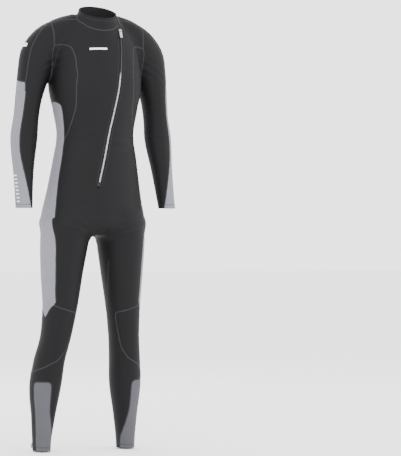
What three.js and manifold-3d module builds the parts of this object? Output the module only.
// A full wetsuit of 3.5 mm lined neoprene, filled out as it hangs when it is worn: a torso with a
// slanted chest zip, long sleeves with wrist zips and long legs with ankle zips.
// Millimetres, +Z up, the suit faces -Y, and +X is the wearer's left. The tables below count
// their heights from the ankle hems, and the whole suit is then put down so that its origin
// is the middle of the neck opening, where a hanger or a wearer carries it.
import * as THREE from "three";
import { mergeVertices } from "three/addons/utils/BufferGeometryUtils.js";
import Module from "manifold-3d";

const wasm = await Module();
wasm.setup();

// Driving dimensions
const NECK_HEIGHT = 1440;
const WALL = 3.5;
const WRIST_HEIGHT = 800;
const SEAM_GAP = 0.6;
const SEAM_REACH = 24;
const DEEP_REACH = 44;
const SEAM_OVERRUN = 14;
const SLOT_OVERRUN = 9;
const SLOT_REACH = 8;
const NEAR_SKIN = 25;
const MAIN_SLOT = 13;
const SMALL_SLOT = 9;
const TORSO_SIDES = 20;
const ARM_SIDES = 12;
const LEG_SIDES = 12;
const SEAM_STEP = 36;

// Cuts between the stretches of suit that bend and those that don't
const SLEEVE_TOP = 1176;
const ELBOW_TOP = 1086;
const ELBOW_END = 984;
const HIP_SIDE = 770;
const HIP_MIDDLE = 728;
const THIGH_TOP = 632;
const KNEE_TOP = 492;
const KNEE_END = 362;

// Rings of the torso: height, half width, front and back of the ring in Y
const TORSO = [
  [709, 96, -52, 66],
  [742, 172, -98, 113],
  [780, 172, -104, 120],
  [870, 157, -107, 105],
  [960, 142, -108, 88],
  [1040, 130, -109, 83],
  [1125, 143, -120, 95],
  [1190, 156, -125, 104],
  [1240, 156, -126, 109],
  [1290, 153, -119, 109],
  [1340, 146, -101, 98],
  [1375, 128, -84, 80],
  [1400, 96, -76, 60],
  [1412, 64, -70, 44],
];
// Rings of a sleeve: middle X, Y and height, then half sizes across and front to back
const ARM = [
  [68, -8, 1405, 34, 34],
  [114, -1, 1384, 42, 48],
  [157, 5, 1346, 57, 54],
  [191, 8, 1296, 61, 57],
  [206, 10, 1248, 54, 55],
  [216, 12, 1203, 48, 52],
  [224, 14, 1158, 43, 48],
  [231, 16, 1100, 41, 44],
  [238, 17, 1040, 44.5, 43],
  [247, 2, 927, 34.5, 37],
  [254, -24, WRIST_HEIGHT, 28, 27],
];
// Rings of a leg: middle X, Y and height, then half sizes across and front to back
const LEG = [
  [84, 4, 796, 72, 92],
  [93, 5, 740, 82, 98],
  [99, 8, 696, 79, 91],
  [106, 14, 600, 70, 79],
  [113, 19, 465, 56, 63],
  [122, 33, 375, 50.5, 58],
  [135, 57, 296, 51, 60],
  [142, 70, 225, 52.5, 59],
  [147.5, 80, 110, 39, 46],
  [150, 85, 40, 31.5, 41],
  [150.5, 86, 0, 29, 40],
];
// Rings of the neck: Y, height, half sizes and how far the ring leans forward, in degrees
const NECK = [
  [-26, 1340, 68, 66, 4],
  [-28, 1388, 71, 66, 14],
  [-31, 1420, 70, 64, 19],
  [-34, 1444, 62, 62, 22],
];

const TORSO_AXIS = [
  [0, 5, 700],
  [0, -14, 1020],
  [0, -12, 1312],
];
// The lines that the seams beside the chest and back, and the main zip, stand out from
const CHEST_AXIS = [
  [60, -5, 700],
  [60, -5, 1240],
  [140, 0, 1312],
];
const ZIP_AXIS = [
  [-20, 0, 800],
  [30, 0, 1240],
  [50, -10, 1320],
];
const COLLAR_MIDDLE = [
  [0, -30, 1354],
  [0, -30, 1356],
];

const looks = {
  black: { color: "#2b2b2f", roughness: 0.75, metalness: 0 },
  grey: { color: "#8e8e96", roughness: 0.75, metalness: 0 },
  shin: { color: "#77777e", roughness: 0.75, metalness: 0 },
  tape: { color: "#202023", roughness: 0.85, metalness: 0 },
  teeth: { color: "#a9a9ad", roughness: 0.4, metalness: 0.1 },
  metal: { color: "#b6b8bc", roughness: 0.3, metalness: 1 },
};

const vec = (p) => new THREE.Vector3(p[0], p[1], p[2]);
const mirrored = (p, side) => [side * p[0], p[1], p[2]];
const sideName = (side) => (side < 0 ? "right" : "left");

// A closed skin through rings of points, each ring a list of the same length, capped by fans.
function skin(rings) {
  const count = rings[0].length;
  const points = rings.flat();
  const faces = [];
  for (let r = 0; r + 1 < rings.length; r++) {
    for (let i = 0; i < count; i++) {
      const a = r * count + i;
      const b = r * count + ((i + 1) % count);
      faces.push(a, b, b + count, a, b + count, a + count);
    }
  }
  for (const [ring, first] of [[rings[0], 0], [rings.at(-1), (rings.length - 1) * count]]) {
    const middle = new THREE.Vector3();
    ring.forEach((p) => middle.addScaledVector(p, 1 / count));
    points.push(middle);
    for (let i = 0; i < count; i++) {
      const a = first + i;
      const b = first + ((i + 1) % count);
      faces.push(...(first === 0 ? [b, a, points.length - 1] : [a, b, points.length - 1]));
    }
  }
  const geometry = new THREE.BufferGeometry().setFromPoints(points);
  geometry.setIndex(faces);
  return geometry;
}

// The solid of a closed geometry, turned round if its faces point inwards.
function solid(geometry) {
  const bare = geometry.clone();
  bare.deleteAttribute("normal");
  bare.deleteAttribute("uv");
  const merged = mergeVertices(bare, 1e-4);
  const triVerts = new Uint32Array(merged.index.array);
  const vertProperties = merged.attributes.position.array;
  const made = new wasm.Manifold(new wasm.Mesh({ numProp: 3, vertProperties, triVerts }));
  if (made.volume() > 0) return made;
  for (let i = 0; i < triVerts.length; i += 3) {
    [triVerts[i + 1], triVerts[i + 2]] = [triVerts[i + 2], triVerts[i + 1]];
  }
  return new wasm.Manifold(new wasm.Mesh({ numProp: 3, vertProperties, triVerts }));
}

// An oval ring: middle, the two directions of its half sizes, and how square it is (2 is an oval).
function ring(middle, across, deep, sides, squareness = 2) {
  const points = [];
  for (let i = 0; i < sides; i++) {
    const turn = (2 * Math.PI * i) / sides;
    const c = Math.cos(turn);
    const s = Math.sin(turn);
    const cc = Math.sign(c) * Math.abs(c) ** (2 / squareness);
    const ss = Math.sign(s) * Math.abs(s) ** (2 / squareness);
    points.push(middle.clone().addScaledVector(across, cc).addScaledVector(deep, ss));
  }
  return points;
}

// The torso as a solid, grown by a distance outwards (negative for the hollow inside it).
function torso(grow) {
  const rings = TORSO.map(([height, half, front, back]) => {
    const middle = new THREE.Vector3(0, (front + back) / 2, height + (height > 1300 ? grow : 0));
    const across = new THREE.Vector3(half + grow, 0, 0);
    const deep = new THREE.Vector3(0, (back - front) / 2 + grow, 0);
    return ring(middle, across, deep, TORSO_SIDES, 2.15);
  });
  if (grow < 0) rings[0].forEach((p) => p.setZ(p.z - grow));
  return solid(skin(rings));
}

// A sleeve, whose rings lie across its own bent middle line; the hollow runs on past the hem.
function arm(side, grow) {
  const middles = ARM.map((row) => vec(mirrored(row, side)));
  const rings = ARM.map(([, , , across, deep], i) => {
    const before = middles[Math.max(i - 1, 0)];
    const after = middles[Math.min(i + 1, middles.length - 1)];
    const along = after.clone().sub(before);
    along.y = 0;
    if (i >= 6) along.x = 0;
    along.normalize();
    const sideways = new THREE.Vector3(-along.z * side, 0, along.x * side).multiplyScalar(side);
    return ring(
      middles[i],
      sideways.multiplyScalar(across + grow),
      new THREE.Vector3(0, deep + grow, 0),
      ARM_SIDES,
    );
  });
  if (grow < 0) rings.push(rings.at(-1).map((p) => p.clone().setZ(p.z - 12)));
  return solid(skin(rings));
}

// A leg of flat rings; the hollow runs on past the hem.
function leg(side, grow) {
  const rings = LEG.map(([x, y, z, across, deep]) =>
    ring(
      new THREE.Vector3(side * x, y, z),
      new THREE.Vector3(across + grow, 0, 0),
      new THREE.Vector3(0, deep + grow, 0),
      LEG_SIDES,
    ),
  );
  if (grow < 0) rings.push(rings.at(-1).map((p) => p.clone().setZ(p.z - 12)));
  return solid(skin(rings));
}

// The neck, whose rim leans forward; the hollow runs on past the rim.
function neck(grow) {
  const rings = NECK.map(([y, z, across, deep, lean]) => {
    const tilt = THREE.MathUtils.degToRad(lean);
    return ring(
      new THREE.Vector3(0, y, z),
      new THREE.Vector3(across + grow, 0, 0),
      new THREE.Vector3(0, Math.cos(tilt), Math.sin(tilt)).multiplyScalar(deep + grow),
      TORSO_SIDES,
    );
  });
  if (grow < 0) rings.push(rings.at(-1).map((p) => p.clone().setZ(p.z + 14)));
  return solid(skin(rings));
}

const whole = (grow) =>
  [neck(grow), arm(-1, grow), arm(1, grow), leg(-1, grow), leg(1, grow)].reduce(
    (sum, limb) => sum.add(limb),
    torso(grow),
  );
const outside = whole(0);
let suit = outside.subtract(whole(-WALL));

// The outside as a mesh to aim rays at
function geometryOf(made) {
  const mesh = made.getMesh();
  const geometry = new THREE.BufferGeometry();
  geometry.setAttribute("position", new THREE.BufferAttribute(mesh.vertProperties, 3));
  geometry.setIndex([...mesh.triVerts]);
  return geometry;
}
const target = new THREE.Mesh(
  geometryOf(outside),
  new THREE.MeshBasicMaterial({ side: THREE.DoubleSide }),
);

const axisOf = {
  torso: TORSO_AXIS,
  chest_right: CHEST_AXIS.map((p) => mirrored(p, -1)),
  chest_left: CHEST_AXIS,
  zip: ZIP_AXIS,
  collar: COLLAR_MIDDLE,
  rim: [[0, -30, 1400], [0, -36, 1470]],
  arm_right: ARM.slice(3).map((row) => mirrored(row, -1)),
  arm_left: ARM.slice(3).map((row) => mirrored(row, 1)),
  leg_right: LEG.map((row) => mirrored(row, -1)),
  leg_left: LEG.map((row) => mirrored(row, 1)),
};

// The nearest point of a limb's middle line to a point.
function foot(point, axis) {
  let best = null;
  for (let i = 0; i + 1 < axis.length; i++) {
    const line = new THREE.Line3(vec(axis[i]), vec(axis[i + 1]));
    const near = line.closestPointToPoint(point, true, new THREE.Vector3());
    if (!best || near.distanceTo(point) < best.distanceTo(point)) best = near;
  }
  return best;
}

// A point's place on the outside of the suit, straight out from the limb's middle line.
function placed(point, axis) {
  const start = foot(point, axis);
  const out = point.clone().sub(start).normalize();
  const hits = new THREE.Raycaster(start, out).intersectObject(target);
  const near = hits.map((hit) => hit.point).filter((p) => p.distanceTo(point) < NEAR_SKIN);
  near.sort((a, b) => a.distanceTo(point) - b.distanceTo(point));
  return { place: near[0] ?? point, out };
}

// The solid of a thin wall through rings of four corners, outer pair first. Its two broad faces
// are split along the same diagonals, so that they stay apart where the wall is twisted.
function wall(rings, closed) {
  if (closed) rings.pop();
  const count = rings.length;
  const faces = [];
  for (let r = 0; r < (closed ? count : count - 1); r++) {
    const next = ((r + 1) % count) * 4;
    for (let i = 0; i < 4; i++) {
      const [a, b] = [r * 4 + i, r * 4 + ((i + 1) % 4)];
      const [c, d] = [next + ((i + 1) % 4), next + i];
      faces.push(...(i === 3 ? [a, b, d, b, c, d] : [a, b, c, a, c, d]));
    }
  }
  if (!closed) {
    const end = (count - 1) * 4;
    faces.push(2, 1, 0, 3, 2, 0, end, end + 1, end + 2, end, end + 2, end + 3);
  }
  const geometry = new THREE.BufferGeometry().setFromPoints(rings.flat());
  geometry.setIndex(faces);
  return solid(geometry);
}

// A point past the end of a seam, so that it cuts right through the seam that it meets.
const overrun = (end, before) =>
  end.clone().addScaledVector(end.clone().sub(before).normalize(), SEAM_OVERRUN);

// A thin wall that stands along a seam, through the suit, from hand-placed points near the seam.
function blade(name, points, width = SEAM_GAP, reach = SEAM_REACH, closed = false) {
  const axis = axisOf[name];
  const curve = new THREE.CatmullRomCurve3(points.map(vec), closed, "centripetal");
  const route = curve.getPoints(Math.max(3, Math.ceil(curve.getLength() / SEAM_STEP)));
  if (!closed) {
    route.unshift(overrun(route[0], route[1]));
    route.push(overrun(route.at(-1), route.at(-2)));
  }
  const samples = route.map((p) => ({ place: p, out: p.clone().sub(foot(p, axis)).normalize() }));
  const rings = samples.map(({ place, out }, i) => {
    const last = samples.length - 1;
    const before = samples[closed && i === 0 ? last - 1 : Math.max(i - 1, 0)].place;
    const after = samples[closed && i === last ? 1 : Math.min(i + 1, last)].place;
    const along = after.clone().sub(before).normalize();
    const sideways = new THREE.Vector3().crossVectors(out, along).normalize();
    const outwards = new THREE.Vector3().crossVectors(along, sideways).normalize();
    const corners = [[1, 1], [-1, 1], [-1, -1], [1, -1]];
    return corners.map(([a, b]) =>
      place
        .clone()
        .addScaledVector(sideways, (a * width) / 2)
        .addScaledVector(outwards, b * reach),
    );
  });
  return wall(rings, closed);
}

// A flat cut: a thin box with its middle, size and turn about Y.
function slab(middle, size, turn = 0) {
  const box = new THREE.BoxGeometry(...size);
  box.rotateY(turn);
  box.translate(...middle);
  return solid(box);
}

const cut = (made) => {
  suit = suit.subtract(made);
};

// Seams of the collar, which opens beside the top of the main zip
const COLLAR_BASE = [
  [0, -94, 1379],
  [42, -82, 1388],
  [72, -58, 1412],
  [88, -24, 1431],
  [70, 14, 1441],
  [36, 36, 1441],
  [0, 42, 1440],
  [-36, 36, 1441],
  [-70, 14, 1441],
  [-88, -24, 1431],
  [-72, -58, 1412],
  [-42, -82, 1388],
];
const COLLAR_OPENING = [
  [68, -64, 1396],
  [60, -64, 1422],
  [50, -68, 1470],
];

// Seams of the wearer's left side, each from its top to its end; the right side mirrors them
const SHOULDER_SEAM = [
  [76, -42, 1428],
  [118, -30, 1412],
  [164, -10, 1392],
];
const CAP_FRONT = [
  [156, -12, 1390],
  [178, -13, 1378],
  [208, -22, 1352],
  [233, -29, 1313],
  [243, -32, 1270],
  [250, -28, 1217],
  [248, -28, 1166],
];
const CAP_BACK = [
  [164, 56, 1338],
  [182, 52, 1333],
  [208, 46, 1326],
  [236, 38, 1306],
  [254, 36, 1260],
  [261, 32, 1222],
  [265, 27, 1166],
];
const SLEEVE_FRONT = [
  [247, -28, 1186],
  [256, -22, 1110],
  [262, -18, 1062],
  [266, -18, 1003],
  [261, -30, 947],
  [251, -40, 897],
  [241, -43, 848],
  [232, -41, 790],
];
const SLEEVE_BACK = [
  [265, 26, 1186],
  [278, 28, 1062],
  [281, 26, 1003],
  [281, 16, 947],
  [280, 4, 897],
  [281, -18, 790],
];
const PRINCESS_FRONT = [
  [164, -60, 1330],
  [138, -60, 1344],
  [116, -70, 1334],
  [103, -92, 1293],
  [102, -98, 1237],
  [98, -94, 1148],
  [105, -76, 1092],
  [114, -58, 1049],
  [123, -46, 1018],
];
const PRINCESS_BACK = [
  [160, 60, 1328],
  [150, 60, 1322],
  [127, 69, 1280],
  [111, 76, 1227],
  [101, 72, 1158],
  [94, 65, 1102],
  [95, 55, 1043],
  [109, 43, 1008],
];
const FLANK_TOP = [
  [133, -55, 1136],
  [147, -30, 1148],
  [151, 0, 1150],
  [138, 30, 1134],
];
const FLANK_FRONT = [
  [133, -54, 1139],
  [126, -52, 1105],
  [122, -48, 1062],
  [126, -48, 1003],
  [132, -48, 947],
  [142, -44, 887],
  [149, -48, 762],
];
const FLANK_BACK = [
  [139, 27, 1137],
  [117, 36, 1076],
  [108, 42, 1020],
  [114, 48, 967],
  [134, 62, 835],
  [150, 64, 758],
];
const THIGH_FRONT = [
  [152, -50, 630],
  [151, -44, 580],
  [150, -38, 494],
];
const THIGH_BACK = [
  [158, 67, 630],
  [159, 62, 560],
  [160, 54, 494],
];
const INSEAM = [
  [39, -30, 630],
  [44, -18, 590],
  [54, 8, 494],
];
const SHIN_TOP = [
  [191, 52, 228],
  [176, 22, 230],
  [141, 10, 232],
];
const SHIN_OUTER = [
  [191, 52, 232],
  [182, 62, 110],
  [176, 72, 2],
];
const SHIN_INNER = [
  [142, 8, 236],
  [142, 28, 150],
  [130, 44, 84],
  [121, 66, 40],
  [121, 70, 2],
];
const WRIST_ZIP = [
  [271, 29, 930],
  [260, 4, 803],
];
const ANKLE_ZIP = [
  [179, 109, 125],
  [172, 113, 3],
];

// The frame at a place: along points to the closed end of the zip.
function frameAt(place, along, out) {
  const sideways = new THREE.Vector3().crossVectors(along, out).normalize();
  const square = new THREE.Vector3().crossVectors(sideways, along).normalize();
  return { place, along: along.clone().normalize(), sideways, out: square };
}

// The top of the main zip lies on an arc, through three places on the chest
const ARC_SPOTS = [
  [65, -72, 1392],
  [51, -118, 1290],
  [39, -124, 1184],
];
const ARC_STEPS = 7;
const arcPlaces = ARC_SPOTS.map((p) => placed(vec(p), ZIP_AXIS).place);
const arcAxis = new THREE.Plane().setFromCoplanarPoints(...arcPlaces).normal.clone();
if (arcAxis.x < 0) arcAxis.negate();
const arcMiddle = circleMiddle(...arcPlaces);
const arcRadius = arcMiddle.distanceTo(arcPlaces[0]);

// The middle of the circle through three places.
function circleMiddle(a, b, c) {
  const ab = b.clone().sub(a);
  const ac = c.clone().sub(a);
  const normal = new THREE.Vector3().crossVectors(ab, ac);
  const toMiddle = new THREE.Vector3()
    .crossVectors(normal, ab)
    .multiplyScalar(ac.lengthSq())
    .add(new THREE.Vector3().crossVectors(ac, normal).multiplyScalar(ab.lengthSq()))
    .divideScalar(2 * normal.lengthSq());
  return a.clone().add(toMiddle);
}

// The frame on the arc at a turn from its top, in radians, positive going down.
function onArc(turn) {
  const spoke = arcPlaces[0].clone().sub(arcMiddle).applyAxisAngle(arcAxis, turn);
  const place = arcMiddle.clone().add(spoke);
  const out = spoke.clone().normalize();
  const along = new THREE.Vector3().crossVectors(out, arcAxis).normalize();
  return frameAt(place, along, out);
}
const arcSpan = arcPlaces[0].clone().sub(arcMiddle).angleTo(arcPlaces[2].clone().sub(arcMiddle));

// The whole route of the main zip: the arc, then the slanting stretch down to its end
const mainRoute = [];
for (let i = 0; i <= ARC_STEPS; i++) mainRoute.push(onArc((arcSpan * i) / ARC_STEPS));
const LOWER_SPOTS = [
  [31, -122, 1140],
  [22, -119, 1098],
  [12, -116, 1050],
  [1, -113, 995],
  [-9, -111, 945],
  [-18, -109, 905],
  [-26, -108, 870],
];
const lowerPlaces = LOWER_SPOTS.map((p) => placed(vec(p), ZIP_AXIS));
lowerPlaces.forEach(({ place, out }, i) => {
  const before = i ? lowerPlaces[i - 1].place : mainRoute.at(-1).place;
  mainRoute.push(frameAt(place, before.clone().sub(place), out));
});

// The slot that a zip lies in: a wall through the suit along the zip's route and past its ends.
function slot(route, width) {
  const ends = [route[0], ...route, route.at(-1)].map((frame) => ({ ...frame }));
  const [first, second] = [route[0].place, route[1].place];
  const [last, before] = [route.at(-1).place, route.at(-2).place];
  const run = (from, to) => to.clone().addScaledVector(to.clone().sub(from).normalize(), SLOT_OVERRUN);
  ends[0].place = run(second, first);
  ends.at(-1).place = run(before, last);
  return wall(ringsAlong(ends, width, -SLOT_REACH, SLOT_REACH), false);
}

// The four corners of a strip's section at each frame of its route.
function ringsAlong(route, width, low, high) {
  const corners = [[1, high], [-1, high], [-1, low], [1, low]];
  return route.map(({ place, sideways, out }) =>
    corners.map(([a, b]) =>
      place
        .clone()
        .addScaledVector(sideways, (a * width) / 2)
        .addScaledVector(out, b),
    ),
  );
}

// The straight route of a short zip, from its open end to its closed end at a hem.
function shortRoute(limb, points) {
  const [open, hem] = points.map((p) => placed(vec(p), axisOf[limb]));
  const along = hem.place.clone().sub(open.place).normalize();
  const out = open.out.clone().add(hem.out).normalize();
  return [open, hem].map(({ place }) => frameAt(place, along, out));
}

// Cuts straight across the suit where a stretch that bends begins and ends
function crossCuts(side) {
  const wide = 220;
  cut(slab([side * 262, 10, SLEEVE_TOP], [190, wide, SEAM_GAP]));
  cut(slab([side * 262, 10, ELBOW_TOP], [190, wide, SEAM_GAP]));
  cut(slab([side * 262, 10, ELBOW_END], [190, wide, SEAM_GAP]));
  const rise = HIP_SIDE - HIP_MIDDLE;
  const run = 176;
  const slope = Math.atan2(rise, run);
  const length = Math.hypot(rise, run) + 24;
  const middle = [side * (run / 2 + 11), 10, (HIP_SIDE + HIP_MIDDLE) / 2 + 2.6];
  cut(slab(middle, [length, 320, SEAM_GAP], -side * slope));
  cut(slab([side * 101, 10, THIGH_TOP], [200, 320, SEAM_GAP]));
  cut(slab([side * 126, 20, KNEE_TOP], [200, 320, SEAM_GAP]));
  cut(slab([side * 126, 20, KNEE_END], [200, 320, SEAM_GAP]));
}

function seamCuts(side) {
  const name = sideName(side);
  const run = (limb, points, width, reach) =>
    cut(blade(limb, points.map((p) => mirrored(p, side)), width, reach));
  cut(slab([side * 160.5, 5, 1314], [SEAM_GAP, 200, 216], side * -0.0234));
  run(`chest_${name}`, SHOULDER_SEAM, SEAM_GAP, DEEP_REACH);
  run(`arm_${name}`, CAP_FRONT);
  run(`arm_${name}`, CAP_BACK);
  run(`arm_${name}`, SLEEVE_FRONT);
  run(`arm_${name}`, SLEEVE_BACK);
  run(`chest_${name}`, PRINCESS_FRONT, SEAM_GAP, DEEP_REACH);
  run(`chest_${name}`, PRINCESS_BACK, SEAM_GAP, DEEP_REACH);
  run("torso", FLANK_TOP);
  run("torso", FLANK_FRONT);
  run("torso", FLANK_BACK);
  run(`leg_${name}`, THIGH_FRONT);
  run(`leg_${name}`, THIGH_BACK);
  run(`leg_${name}`, INSEAM);
  run(`leg_${name}`, SHIN_TOP);
  run(`leg_${name}`, SHIN_OUTER);
  run(`leg_${name}`, SHIN_INNER);
  const wrist = WRIST_ZIP.map((p) => mirrored(p, side));
  const ankle = ANKLE_ZIP.map((p) => mirrored(p, side));
  cut(slot(shortRoute(`arm_${name}`, wrist), SMALL_SLOT));
  cut(slot(shortRoute(`leg_${name}`, ankle), SMALL_SLOT));
}

cut(blade("collar", COLLAR_BASE, SEAM_GAP, DEEP_REACH, true));
cut(blade("rim", COLLAR_OPENING));
cut(slot(mainRoute, MAIN_SLOT));
cut(slab([0, 10, 714], [SEAM_GAP, 260, 30]));
for (const side of [-1, 1]) {
  crossCuts(side);
  seamCuts(side);
}
const pieces = suit.simplify(0.2).decompose();

// Each fabric piece's look, the middle line to start from and a spot on it
const SIDED_PANELS = {
  side_panel: ["black", "torso", [140, -60, 1190]],
  flank: ["grey", "torso", [160, 10, 900]],
  shoulder_cap: ["black", "arm", [240, 5, 1330]],
  sleeve_root: ["black", "arm", [200, -45, 1270]],
  upper_sleeve: ["black", "arm", [205, -20, 1130]],
  upper_sleeve_grey: ["grey", "arm", [270, 5, 1130]],
  elbow_sleeve: ["black", "arm", [215, -25, 1035]],
  elbow_sleeve_grey: ["grey", "arm", [280, 5, 1035]],
  forearm: ["black", "arm", [225, 10, 930]],
  forearm_grey: ["grey", "arm", [280, -10, 930]],
  hip: ["black", "leg", [178, 10, 690]],
  thigh_front: ["black", "leg", [110, -65, 560]],
  thigh_back: ["black", "leg", [110, 85, 560]],
  thigh_grey: ["grey", "leg", [175, 10, 560]],
  knee: ["black", "leg", [120, -30, 430]],
  shin: ["black", "leg", [100, 60, 200]],
  shin_grey: ["shin", "leg", [170, 25, 150]],
};
const MIDDLE_PANELS = {
  front_panel: ["black", "torso", [-60, -120, 1100]],
  back_panel: ["black", "torso", [40, 90, 1200]],
  collar: ["black", "rim", [0, -93, 1405]],
};

const group = new THREE.Group();

function add(name, geometry, look) {
  const moved = geometry.clone().translate(0, 0, -NECK_HEIGHT);
  const mesh = new THREE.Mesh(moved, new THREE.MeshStandardMaterial(looks[look]));
  mesh.name = name;
  group.add(mesh);
}

const pieceMeshes = pieces.map(
  (piece) =>
    new THREE.Mesh(geometryOf(piece), new THREE.MeshBasicMaterial({ side: THREE.DoubleSide })),
);
function panel(name, look, axis, spot) {
  const start = foot(vec(spot), axisOf[axis]);
  const out = vec(spot).sub(start).normalize();
  const hits = new THREE.Raycaster(start, out).intersectObjects(pieceMeshes);
  const near = (hit) => hit.point.distanceTo(vec(spot));
  hits.sort((a, b) => near(a) - near(b));
  add(name, hits[0].object.geometry, look);
}

for (const [name, [look, axis, spot]] of Object.entries(MIDDLE_PANELS)) {
  panel(name, look, axis, spot);
}
for (const side of [-1, 1]) {
  const end = sideName(side);
  for (const [name, [look, limb, spot]] of Object.entries(SIDED_PANELS)) {
    const axis = limb === "torso" ? limb : `${limb}_${end}`;
    panel(`${name}_${end}`, look, axis, mirrored(spot, side));
  }
}

// A flat strip along a route on the suit: its width, and its underside and top above the skin.
const strip = (route, width, low, high) =>
  geometryOf(wall(ringsAlong(route, width, low, high), false));

// A zip slider lying on its teeth: a tapered body with an arch on top that holds the pull.
// Its own frame has X across the zip, Y towards the closed end and Z out of the suit.
const SLIDER_LOW = 1.5;
const SLIDER_HIGH = 4.5;
const PULL_PIVOT = 5.8;

function sliderGeometry(scale) {
  const outline = new THREE.Shape();
  outline.moveTo(-3.2, -6);
  outline.lineTo(3.2, -6);
  outline.lineTo(4.6, 3.4);
  outline.quadraticCurveTo(4.4, 6.2, 2.2, 6.6);
  outline.lineTo(0, 5.4);
  outline.lineTo(-2.2, 6.6);
  outline.quadraticCurveTo(-4.4, 6.2, -4.6, 3.4);
  outline.closePath();
  const body = new THREE.ExtrudeGeometry(outline, {
    depth: SLIDER_HIGH - SLIDER_LOW - 0.6,
    bevelSize: 0.4,
    bevelThickness: 0.3,
    bevelSegments: 1,
    curveSegments: 3,
  });
  body.translate(0, 0, SLIDER_LOW + 0.3);
  const arch = new THREE.Shape();
  arch.moveTo(-4.6, 0);
  arch.lineTo(4.6, 0);
  arch.lineTo(4.6, 3.4);
  arch.lineTo(3.6, 4.6);
  arch.lineTo(-3.6, 4.6);
  arch.lineTo(-4.6, 3.4);
  arch.closePath();
  const opening = new THREE.Path();
  opening.moveTo(-2.7, 0.45);
  opening.lineTo(-2.7, 3.1);
  opening.lineTo(2.7, 3.1);
  opening.lineTo(2.7, 0.45);
  opening.closePath();
  arch.holes.push(opening);
  const bridge = new THREE.ExtrudeGeometry(arch, { depth: 2.6, bevelEnabled: false });
  bridge.applyMatrix4(new THREE.Matrix4().makeBasis(
    new THREE.Vector3(0, 1, 0),
    new THREE.Vector3(0, 0, 1),
    new THREE.Vector3(1, 0, 0),
  ));
  bridge.translate(-1.3, 0, SLIDER_HIGH - 0.45);
  return geometryOf(solid(body).add(solid(bridge))).scale(scale, scale, scale);
}

// The pull of a slider, in the slider's frame: a flat tab whose top bar runs through the arch.
function pullGeometry(scale, length) {
  const outline = new THREE.Shape();
  outline.moveTo(-4, 1);
  outline.lineTo(4, 1);
  outline.quadraticCurveTo(4.8, 1, 4.8, 0);
  outline.lineTo(4.2, -8);
  outline.lineTo(4.2, 3 - length);
  outline.quadraticCurveTo(4.2, -length, 0, -length);
  outline.quadraticCurveTo(-4.2, -length, -4.2, 3 - length);
  outline.lineTo(-4.2, -8);
  outline.lineTo(-4.8, 0);
  outline.quadraticCurveTo(-4.8, 1, -4, 1);
  const window = new THREE.Path();
  window.moveTo(-2.9, -1);
  window.lineTo(-2.9, -6.6);
  window.lineTo(2.9, -6.6);
  window.lineTo(2.9, -1);
  window.closePath();
  outline.holes.push(window);
  const tab = new THREE.ExtrudeGeometry(outline, {
    depth: 1.4,
    bevelEnabled: false,
    curveSegments: 4,
  });
  tab.translate(0, 0, PULL_PIVOT - 0.7);
  return geometryOf(solid(tab)).scale(scale, scale, scale);
}

// Puts a piece that is drawn in a slider's frame at a place on the suit.
function seated(geometry, { place, sideways, along, out }) {
  const frame = new THREE.Matrix4().makeBasis(sideways, along, out).setPosition(place);
  return geometry.clone().applyMatrix4(frame);
}

add("main_zip_tape", strip(mainRoute, MAIN_SLOT - 2, -3.3, -2.0), "tape");
add("main_zip_teeth", strip(mainRoute.slice(0, -1), 5, -1.0, 0.9), "teeth");
const mainSeat = onArc(0.035);
add("main_zip_slider", seated(sliderGeometry(1), mainSeat), "metal");
add("main_zip_pull", seated(pullGeometry(1, 30), mainSeat), "metal");

// A short straight zip that closes towards a hem
const SMALL_SCALE = 0.72;
function shortZip(name, limb, points, seatShare) {
  const frames = shortRoute(limb, points);
  add(`${name}_tape`, strip(frames, SMALL_SLOT - 1.6, -2.8, -1.4), "tape");
  add(`${name}_teeth`, strip(frames, 3.6, -1.0, 0.6), "teeth");
  const place = frames[0].place.clone().lerp(frames[1].place, seatShare);
  const seat = { ...frames[0], place };
  add(`${name}_slider`, seated(sliderGeometry(SMALL_SCALE), seat), "metal");
  const hanging = pullGeometry(SMALL_SCALE, 20).rotateZ(Math.PI);
  add(`${name}_pull`, seated(hanging, seat), "metal");
}
for (const side of [-1, 1]) {
  const end = sideName(side);
  const wrist = WRIST_ZIP.map((p) => mirrored(p, side));
  const ankle = ANKLE_ZIP.map((p) => mirrored(p, side));
  shortZip(`wrist_zip_${end}`, `arm_${end}`, wrist, 0.86);
  shortZip(`ankle_zip_${end}`, `leg_${end}`, ankle, 0.86);
}

export default group;
